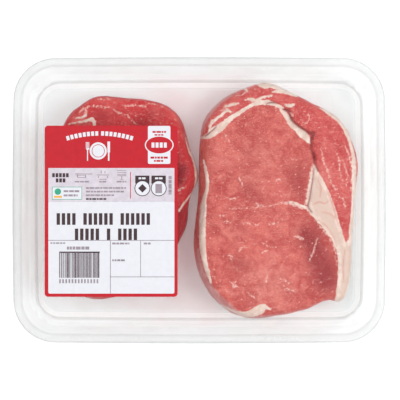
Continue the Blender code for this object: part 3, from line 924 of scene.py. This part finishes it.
def make_steak(node, name, voxel, features, finish):
    """A fine copy of a steak's solid, with the fat, streaks and crevices that show modelled on it."""
    fat_bands, wedge, veins, streaks, crevices, cap, dark, pale, skins, swells = features
    piece = merged_copy(node, name)
    apply_modifier(piece, "REMESH", mode="VOXEL", voxel_size=voxel, adaptivity=0.0)
    apply_modifier(piece, "SMOOTH", factor=0.5, iterations=3)
    points = read_points(piece)
    upper = upper_of(points)
    group = piece.vertex_groups.new(name="upper")
    for i in np.flatnonzero(upper > 0.01):
        group.add([int(i)], float(upper[i]), "REPLACE")
    for kind, size, strength in MEAT_LUMPS:
        pattern = bpy.data.textures.new(name + "_" + kind, "CLOUDS")
        pattern.noise_scale = size
        pattern.noise_depth = 2
        apply_modifier(
            piece, "DISPLACE", texture=pattern, texture_coords="LOCAL", strength=strength,
            mid_level=0.5, vertex_group="upper",
        )
    apply_modifier(piece, "DISPLACE", strength=MEAT_FULLNESS, mid_level=0.0, vertex_group="upper")
    points = read_points(piece)
    places = photo_places(points)
    for x, y, reach_x, reach_y, outward, foot in swells:
        near = np.exp(-(((places[:, 0] - x) / reach_x) ** 2) - ((places[:, 1] - y) / reach_y) ** 2)
        points[:, 0] += outward * near * (foot + (1 - foot) * upper_of(points))
    places = photo_places(points)
    normals = np.empty(len(points) * 3)
    piece.data.vertices.foreach_get("normal", normals)
    normals = normals.reshape(-1, 3)
    top = soft_step(normals[:, 2], *TOP_FACING) * upper

    fat = bands(places, fat_bands)
    if wedge:
        fat = np.maximum(fat, region(places, wedge))
    write_attribute(piece, "vein", soft_step(bands(places, veins), -0.9, 0.5))
    streak = bands(places, streaks)
    gap = bands(places, crevices)
    points[:, 2] += top * FAT_RISE * soft_step(fat, -1.2, 1.6)
    points[:, 2] += top * STREAK_RISE * soft_step(streak, -1.0, 0.6)
    points[:, 2] -= top * CREVICE_DROP * soft_step(gap, -1.5, 0.8)
    write_points(piece, points)

    write_attribute(piece, "fat", fat)
    write_attribute(piece, "streak", streak - 4 * (1 - top))
    # Painted shade in the crevices, strongest where the surface faces up.
    write_attribute(piece, "crevice", top * soft_step(gap, -0.9, 0.6) * CREVICE_SHADE_SHARE)
    write_attribute(piece, "skin", bands(places, skins))
    write_attribute(piece, "cap", region(places, cap))
    # Where the painted shade falls.
    write_attribute(piece, "dark", np.clip(blobs(places, dark), 0.0, 1.0))
    write_attribute(piece, "pale", np.clip(blobs(places, pale), 0.0, 1.0))
    write_attribute(piece, "side", 1.0 - soft_step(normals[:, 2], *SIDE_FACING))
    piece.data.materials.append(finish)
    piece.data.shade_smooth()
    finish_piece(piece, node)


def make_steaks():
    right = (
        RIGHT_FAT_BANDS, RIGHT_FAT_WEDGE, RIGHT_VEINS, RIGHT_STREAKS, RIGHT_CREVICES, RIGHT_CAP, RIGHT_PAINTED_SHADE,
        RIGHT_SHEEN_AND_PALE, RIGHT_SKIN, RIGHT_SWELLS,
    )
    left = (
        LEFT_FAT_BANDS, None, (), LEFT_STREAKS, (), LEFT_CAP, LEFT_PAINTED_SHADE, LEFT_SHEEN_AND_PALE, LEFT_SKIN, LEFT_SWELLS,
    )
    rosy = meat_finish(
        "raw_beef_rosy", EYE_LIGHT, EYE_DEEP, EYE_PAINTED_SHADE, CAP_LIGHT, CAP_DEEP, STREAK, CUT_SIDE_AND_PAINTED_LIGHT, gloss=0.3,
    )
    red = meat_finish(
        "raw_beef_red", SMALL_LIGHT, SMALL_DEEP, SMALL_PAINTED_SHADE, SMALL_LIGHT, SMALL_DEEP, SMALL_STREAK,
        SMALL_SIDE, gloss=0.18,
    )
    make_steak("steak_right", "right_steak", RIGHT_VOXEL, right, rosy)
    make_steak("steak_left", "left_steak", LEFT_VOXEL, left, red)


# Label

LABEL_BASE_THICKNESS = 0.16 * MM
INK_THICKNESS = 0.03 * MM

# How far each kind of corner is rounded.
LABEL_ROUNDING = 2.2 * MM
FIELD_ROUNDING = 0.9 * MM
BAND_ROUNDING = 0.3 * MM
PRINT_ROUNDING = 0.12 * MM
FINE_ROUNDING = 0.05 * MM
BAR_ROUNDING = 0.04 * MM

# Each ink's colour and how uneven it is.
LABEL_INKS = {
    "red": ((0.480, 0.004, 0.014), 0.05),
    "white": ((0.69, 0.70, 0.745), 0.02),
    "lilac": ((0.60, 0.55, 0.61), 0.07),
    "dark_ink": ((0.045, 0.022, 0.026), 0.2),
    "grey_ink": ((0.30, 0.25, 0.29), 0.12),
    "green_ink": ((0.035, 0.34, 0.20), 0.1),
    "gold_ink": ((0.75, 0.38, 0.06), 0.1),
    "bar_ink": ((0.10, 0.065, 0.08), 0.15),
}

# The label's print in the photograph's pixels: left, top, right and bottom of each field. A disc is its
# centre and radius, an oval its centre and two half-widths, and blocks in a row are their left, top and
# bottom, with how many stand in each group.
LABEL_EDGES = (44.6, 125.6, 177.6, 296.8)
WHITE_PANEL = (48.3, 201.5, 174.4, 293.6)
LILAC_BAND = (48.3, 168.0, 174.4, 201.9)
BADGE = (147.9, 125.9, 170.4, 163.9)
BADGE_OVAL = (159.2, 145.0, 13.3, 8.4)
BADGE_OVAL_EDGE = 1.1
BADGE_BLOCKS = (151.5, 142.5, 147.6)
BADGE_BLOCK_PITCH = 4.1
BADGE_BLOCK_FILL = 0.72
BADGE_LINES = (
    (152.5, 131.0, 166.0, 132.8), (154.5, 134.2, 163.5, 135.6), (150.5, 156.6, 168.5, 158.6),
    (154.0, 160.0, 164.5, 161.8),
)
ARC_CENTRE = (99.7, 243.4)
ARC_RADIUS = 110.0
ARC_STARTS = (-17.9, 0.4)
ARC_BLOCKS = 8
ARC_PITCH = 2.18
ARC_BLOCK_SIZE = (3.0, 4.4)
PLATE = (98.2, 150.9, 8.6)
PLATE_RINGS = (6.5, 5.9)
FORK_BAR = (86.2, 148.0, 89.4, 149.6)
FORK_TINES = (86.2, 87.5, 88.8)
TINE_HALF_WIDTH = 0.35
FORK_HANDLE_HALF_WIDTH = 0.5

# The tops and ends of the fork's tines, and the end of its handle.
FORK = (142.0, 148.4, 160.8)

KNIFE = (107.4, 141.5, 110.0, 152.5)
KNIFE_HANDLE = (107.9, 152.5, 109.4, 160.8)
HEADING = ((52.2, 173.2, 177.2, 5), (55.8, 178.4, 182.4, 3))
HEADING_PITCH = 3.45
HEADING_FILL = 0.74
PAN = (
    (75.0, 173.6, 92.0, 174.3), (76.5, 175.0, 86.0, 175.5), (78.0, 177.3, 86.0, 177.8),
    (85.0, 175.0, 86.0, 177.6), (77.0, 175.0, 77.8, 177.6),
)
BOWL = (
    (97.0, 174.6, 109.0, 175.3), (98.0, 176.0, 98.8, 178.0), (107.2, 176.0, 108.0, 178.0),
    (99.5, 179.0, 106.5, 179.6), (100.8, 170.2, 101.5, 173.4), (104.6, 171.0, 105.3, 173.4),
)
GRILL = (
    (117.2, 170.0, 126.2, 170.6), (117.2, 172.0, 126.2, 172.6), (117.2, 174.0, 126.2, 174.6),
    (117.2, 175.4, 126.2, 176.0), (121.4, 176.0, 122.1, 180.0), (119.8, 179.6, 123.8, 180.1),
)
UNDER_PICTURES = ((74.6, 181.0, 89.2, 182.4), (99.4, 181.0, 107.0, 182.4), (116.8, 181.0, 126.4, 182.4))
GREEN_BOX = (52.0, 186.8, 82.0, 199.6)
GREEN_BOX_LINE = 0.5
GREEN_DISC = (57.8, 191.6, 3.2)
GOLD_BAR = (54.0, 195.8, 61.8, 197.8)
GREEN_BOX_ROWS = ((63.6, 190.2, 79.6, 192.2), (63.6, 194.4, 77.6, 196.4))
FINE_ROWS = ((86.0, 187.2, 126.0, 188.8), (86.0, 190.8, 124.0, 192.4), (86.0, 194.4, 115.5, 196.0))
DARK_ROW = (86.0, 198.2, 107.5, 199.8)
RED_LINE = (130.1, 172.0, 130.8, 198.6)
MARK_HEADS = ((135.2, 175.6, 149.4, 183.6), (151.4, 175.6, 165.8, 183.6))
MARK_HEAD_ROWS = ((138.6, 177.4, 146.2, 179.2), (155.0, 177.4, 162.6, 179.2))
MARK_DISCS = ((142.4, 188.3), (158.7, 188.3))
MARK_RADII = (7.9, 7.1)
DIAMOND_REACH = 4.3
GREY_BLOCK = (155.4, 184.0, 162.0, 193.2)
SIDE_ROW = (168.6, 176.0, 171.6, 194.4)
TITLE = ((56.6, 213.2, 224.8, (4, 6, 6)), (74.9, 228.6, 240.0, (5, 1, 4)))
TITLE_PITCH = 5.2
TITLE_GROUP_GAP = 6.0
TITLE_FILL = 0.64
RULES = (
    (48.3, 240.1, 174.6, 240.7), (110.1, 240.7, 110.7, 293.6), (140.3, 240.7, 140.9, 276.8),
    (110.7, 276.6, 174.6, 277.2),
)
FIELD_ROWS = (
    (50.4, 242.4, 65.6, 243.8), (112.2, 242.6, 129.4, 244.4), (143.8, 242.6, 150.8, 244.4),
    (112.2, 259.4, 125.6, 261.2),
)
ROW_OVER_BARS = (67.0, 246.6, 89.2, 249.6)
BARS = (59.2, 252.2, 99.8, 277.8)
BARS_TOP = (59.2, 251.6, 99.8, 252.9)
BAR_FEET = (59.2, 279.2, 99.8, 283.2)
BAR_FOOT_COUNT = 13
BAR_FOOT_PITCH = 3.12
BAR_FOOT_FILL = 0.5
DISC_SIDES = 40


def label_level(layer):
    """The height at which this layer of print starts; layer 0 is the paper itself."""
    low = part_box("label")[0].z
    return low if layer == 0 else low + LABEL_BASE_THICKNESS + (layer - 1) * INK_THICKNESS


def shrunk(field, by):
    left, top, right, bottom = field
    return (left + by, top + by, right - by, bottom - by)


def upright_blocks(left, top, bottom, counts, pitch, gap, fill):
    """Groups of plain upright blocks in a row: how many in each group, their pitch and the groups' gap."""
    blocks = []
    for count in counts:
        for i in range(count):
            blocks.append((left + pitch * i, top, left + pitch * (i + fill), bottom))
        left += pitch * count + gap
    return blocks


def short_blocks(field, seed, upright=False):
    """A row of short plain blocks of unlike length."""
    left, top, right, bottom = field
    chance = random.Random(seed)
    start, end = (top, bottom) if upright else (left, right)
    blocks = []
    while start < end - 1.0:
        stop = min(end, start + chance.uniform(1.6, 5.0))
        blocks.append((left, start, right, stop) if upright else (start, top, stop, bottom))
        start = stop + 0.7
    return blocks


def rows_of_blocks(fields, seed):
    """Short blocks along each of several rows, each row with a seed of its own."""
    return [block for i, field in enumerate(fields) for block in short_blocks(field, seed + i)]


def stripes(field, seed):
    """Upright stripes of unlike width that stand for a bar pattern and hold no number."""
    left, top, right, bottom = field
    chance = random.Random(seed)
    blocks = []
    while left < right - 0.9:
        width = chance.choice((0.4, 0.5, 0.8, 1.3))
        blocks.append((left, top, left + width, bottom))
        left += width + chance.choice((0.4, 0.5, 0.9))
    return blocks


def add_plane(centre, size):
    """Adds a flat rectangle in edit mode, where a new plane takes no scale of its own."""
    bpy.ops.mesh.select_all(action="DESELECT")
    bpy.ops.mesh.primitive_plane_add(size=1, location=centre)
    bpy.ops.transform.resize(value=(size.x, size.y, 1.0), center_override=centre)


def add_block(field, height, turn=0.0):
    left, top, right, bottom = field
    low, high = from_photo(left, bottom, height), from_photo(right, top, height)
    add_plane((low + high) / 2, high - low)
    if turn:
        bpy.ops.transform.rotate(value=-turn, orient_axis="Z", center_override=(low + high) / 2)


def add_disc(x, y, radius, height, squash=1.0):
    centre = from_photo(x, y, height)
    reach = from_photo(x + radius, y, height).x - centre.x
    bpy.ops.mesh.select_all(action="DESELECT")
    bpy.ops.mesh.primitive_circle_add(vertices=DISC_SIDES, radius=reach, fill_type="NGON", location=centre)
    bpy.ops.transform.resize(value=(1.0, squash, 1.0), center_override=centre)


def make_print(
        name, layer, ink, blocks=(), discs=(), turned=(), rounding=PRINT_ROUNDING, segments=3,
        thickness=INK_THICKNESS, node=None):
    """One ink's shapes on one layer of the label: flat faces with round corners, given a thickness."""
    height = label_level(layer)
    piece = new_piece(name)
    start_edit(piece)
    for field in blocks:
        add_block(field, height)
    for field, turn in turned:
        add_block(field, height, turn)
    select_everything()
    if blocks or turned:
        bpy.ops.mesh.bevel(offset=rounding, segments=segments, affect="VERTICES")
    for disc in discs:
        add_disc(*disc[:3], height, *disc[3:])
    thicken(thickness)
    end_edit()
    lay_on_film(piece)
    piece.data.materials.append(ink)
    finish_piece(piece, node)


def arc_blocks():
    """The white blocks on an arc, as fields with their turn."""
    turned = []
    width, height = ARC_BLOCK_SIZE
    for start in ARC_STARTS:
        for i in range(ARC_BLOCKS):
            angle = math.radians(start + ARC_PITCH * (i + 0.5))
            x = ARC_CENTRE[0] + ARC_RADIUS * math.sin(angle)
            y = ARC_CENTRE[1] - ARC_RADIUS * math.cos(angle)
            field = (x - width / 2, y - height / 2, x + width / 2, y + height / 2)
            turned.append((field, -angle))
    return turned


def make_label():
    """The paper label in its base colour, and the print on it layer by layer."""
    inks = {name: ink_finish("label_" + name, *look) for name, look in LABEL_INKS.items()}
    make_print(
        "label_paper", 0, inks["red"], (LABEL_EDGES,), rounding=LABEL_ROUNDING, segments=8,
        thickness=LABEL_BASE_THICKNESS, node="label",
    )
    make_print("label_white_fields", 1, inks["white"], (WHITE_PANEL, BADGE), rounding=FIELD_ROUNDING)
    make_print("label_lilac_band", 1, inks["lilac"], (LILAC_BAND,), rounding=BAND_ROUNDING)

    oval_x, oval_y, oval_reach, oval_half = BADGE_OVAL
    oval = (oval_x, oval_y, oval_reach, oval_half / oval_reach)
    edge_reach = oval_reach + BADGE_OVAL_EDGE
    oval_edge = (oval_x, oval_y, edge_reach, (oval_half + BADGE_OVAL_EDGE) / edge_reach)
    ring, middle = [(PLATE[0], PLATE[1], radius) for radius in PLATE_RINGS]
    handle_x, tine_top, tine_bottom, handle_bottom = FORK_TINES[1], *FORK
    cutlery = [
        FORK_BAR,
        (handle_x - FORK_HANDLE_HALF_WIDTH, FORK_BAR[3], handle_x + FORK_HANDLE_HALF_WIDTH, handle_bottom),
        KNIFE, KNIFE_HANDLE,
    ]
    cutlery += [(x - TINE_HALF_WIDTH, tine_top, x + TINE_HALF_WIDTH, tine_bottom) for x in FORK_TINES]
    make_print("label_header_blocks", 2, inks["white"], cutlery, (PLATE, oval_edge), arc_blocks())
    badge_rows = rows_of_blocks(BADGE_LINES, 40)
    make_print("label_red_print", 3, inks["red"], badge_rows + [RED_LINE], (ring, oval))
    badge_blocks = upright_blocks(*BADGE_BLOCKS, (4,), BADGE_BLOCK_PITCH, 0.0, BADGE_BLOCK_FILL)
    make_print("label_badge_blocks", 4, inks["white"], badge_blocks, (middle,))

    make_print("label_green_box", 2, inks["green_ink"], (GREEN_BOX,))
    heads, faces = [[(x, y, radius) for x, y in MARK_DISCS] for radius in MARK_RADII]
    make_print("label_mark_heads", 2, inks["dark_ink"], MARK_HEADS, heads)
    face_blocks = [shrunk(GREEN_BOX, GREEN_BOX_LINE)] + rows_of_blocks(MARK_HEAD_ROWS, 60)
    make_print("label_mark_faces", 3, inks["white"], face_blocks, faces)

    titles = []
    for left, top, bottom, counts in TITLE:
        titles += upright_blocks(left, top, bottom, counts, TITLE_PITCH, TITLE_GROUP_GAP, TITLE_FILL)
    for left, top, bottom, count in HEADING:
        titles += upright_blocks(left, top, bottom, (count,), HEADING_PITCH, 0.0, HEADING_FILL)
    titles += short_blocks(DARK_ROW, 7)
    side = DIAMOND_REACH / math.sqrt(2)
    x, y = MARK_DISCS[0]
    diamond = ((x - side, y - side, x + side, y + side), math.radians(45))
    make_print("label_dark_print", 4, inks["dark_ink"], titles + [BARS_TOP], (), (diamond,))
    fine = [*RULES, *PAN, *BOWL, *GRILL, GREY_BLOCK]
    fine += rows_of_blocks(UNDER_PICTURES + GREEN_BOX_ROWS + FINE_ROWS + FIELD_ROWS + (ROW_OVER_BARS,), 20)
    fine += short_blocks(SIDE_ROW, 11, upright=True)
    left, top, _, bottom = BAR_FEET
    fine += upright_blocks(left, top, bottom, (BAR_FOOT_COUNT,), BAR_FOOT_PITCH, 0.0, BAR_FOOT_FILL)
    make_print("label_grey_print", 4, inks["grey_ink"], fine, rounding=FINE_ROUNDING)
    make_print("label_bars", 4, inks["bar_ink"], stripes(BARS, 5), rounding=BAR_ROUNDING)
    make_print("label_green_disc", 4, inks["green_ink"], (), (GREEN_DISC,))
    make_print("label_gold_bar", 4, inks["gold_ink"], (GOLD_BAR,))


# The stage

FLOOR_SIZE = 3.0
FLOOR_GLOW = 0.30
WORLD_STRENGTH = 0.75

# Each light's name, place, size both ways and power; all look at the origin.
LIGHTS = (
    ("key", (0.78, -0.02, 1.05), (0.6, 0.6), 6.4),
    ("fill", (-0.45, 0.25, 1.25), (0.9, 0.9), 4.3),
    ("front", (0.25, -1.0, 0.9), (1.0, 0.5), 1.0),
)


def make_stage():
    bpy.ops.mesh.primitive_plane_add(size=FLOOR_SIZE, location=(0.0, 0.0, 0.0))
    floor = named("floor")
    made, tree = new_tree("pale_floor")
    inputs = {
        "Base Color": (0.95, 0.95, 0.95, 1.0), "Roughness": 0.9, "Specular IOR Level": 0.2,
        "Emission Color": (1.0, 1.0, 1.0, 1.0), "Emission Strength": FLOOR_GLOW,
    }
    output(tree, principled(tree, inputs))
    floor.data.materials.append(made)


def make_camera():
    data = bpy.data.cameras.new("camera")
    camera = bpy.data.objects.new("camera", data)
    bpy.context.scene.collection.objects.link(camera)
    camera.location = (CAMERA_OFFSET[0], CAMERA_OFFSET[1], CAMERA_HEIGHT)
    data.sensor_width = SENSOR
    data.lens = SENSOR * CAMERA_ABOVE_RIM / (PIXEL_AT_RIM * PHOTO_PIXELS)
    data.clip_start = 0.01
    bpy.context.scene.camera = camera


def make_lights():
    for name, place, size, power in LIGHTS:
        data = bpy.data.lights.new(name, "AREA")
        data.shape = "RECTANGLE"
        data.size, data.size_y = size
        data.energy = power
        lamp = bpy.data.objects.new(name, data)
        bpy.context.scene.collection.objects.link(lamp)
        lamp.location = place
        lamp.rotation_euler = (-Vector(place)).to_track_quat("-Z", "Y").to_euler()
    world = bpy.data.worlds.new("studio")
    world.use_nodes = True
    background = world.node_tree.nodes["Background"]
    background.inputs["Color"].default_value = (1.0, 1.0, 1.0, 1.0)
    background.inputs["Strength"].default_value = WORLD_STRENGTH
    bpy.context.scene.world = world


def set_view():
    scene = bpy.context.scene
    scene.view_settings.view_transform = "Standard"
    scene.cycles.transparent_max_bounces = 24
    scene.cycles.sample_clamp_indirect = 4.0


deselect_all()
make_camera()
make_lights()
make_stage()
make_tray()
make_film()
make_label()
make_steaks()
set_view()
